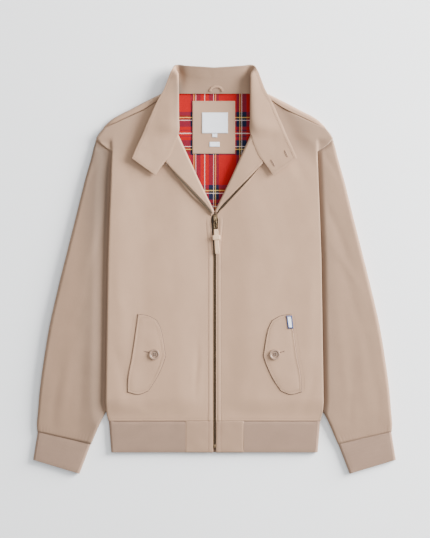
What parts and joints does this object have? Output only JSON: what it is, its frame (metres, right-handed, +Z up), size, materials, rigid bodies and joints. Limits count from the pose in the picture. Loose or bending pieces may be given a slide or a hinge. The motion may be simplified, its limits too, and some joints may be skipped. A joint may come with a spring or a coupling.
{
  "type": "harrington jacket, laid out flat",
  "caption": "Harrington jacket laid flat: open collar over turned-back lapels, zip front, slanted flap pockets, rib-knit hem and cuffs, tartan lining in the neck.",
  "frame": {"origin": "middle of the bounding box at the surface the jacket lies on", "axes": "+Z up from the surface, +Y towards the collar, +X towards the wearer's left side"},
  "size_m": [0.6992, 0.785, 0.0242],
  "materials": {
    "twill": "fine beige cotton twill, matt",
    "rib_knit": "beige rib knit, matt, fine upright ribs",
    "tartan": "traditional red tartan with navy, green, yellow and white lines, smooth cotton",
    "brass": "antique brass zip metal, dull sheen",
    "zip_tape": "woven brown zip tape",
    "button": "beige resin button with four holes",
    "woven_label": "plain off-white woven label, blank, with a narrow border"
  },
  "bodies": {
    "jacket": {"back": "twill", "front_left": "twill", "front_right": "twill", "facing_left": "twill", "facing_right": "twill", "collar": "twill", "sleeve_left": "twill", "sleeve_right": "twill", "hem_tab_left": "twill", "hem_tab_right": "twill", "flap_left": "twill", "flap_right": "twill", "label_patch": "twill", "hanger_loop": "twill", "hem_rib": "rib_knit", "cuff_left": "rib_knit", "cuff_right": "rib_knit", "lining": "tartan", "zip_chain": "brass", "zip_box": "brass", "zip_row_left": "brass", "zip_row_right": "brass", "zip_slider": "brass", "zip_tape_left": "zip_tape", "zip_tape_right": "zip_tape", "pocket_button_left": "button", "pocket_button_right": "button", "collar_button_upper": "button", "collar_button_lower": "button", "neck_label": "woven_label", "size_tab": "woven_label", "small_tab": "woven_label", "pocket_label": "woven_label"},
    "pull": {"zip_pull": "brass", "pull_strap": "twill", "strap_keeper": "twill"}
  },
  "joints": [
    {"name": "pull_swing", "type": "hinge", "parent": "jacket", "child": "pull", "pos_m": [0.0016, 0.0948, 0.0134], "axis": [-1, 0, 0], "range_deg": [0, 150]}
  ]
}
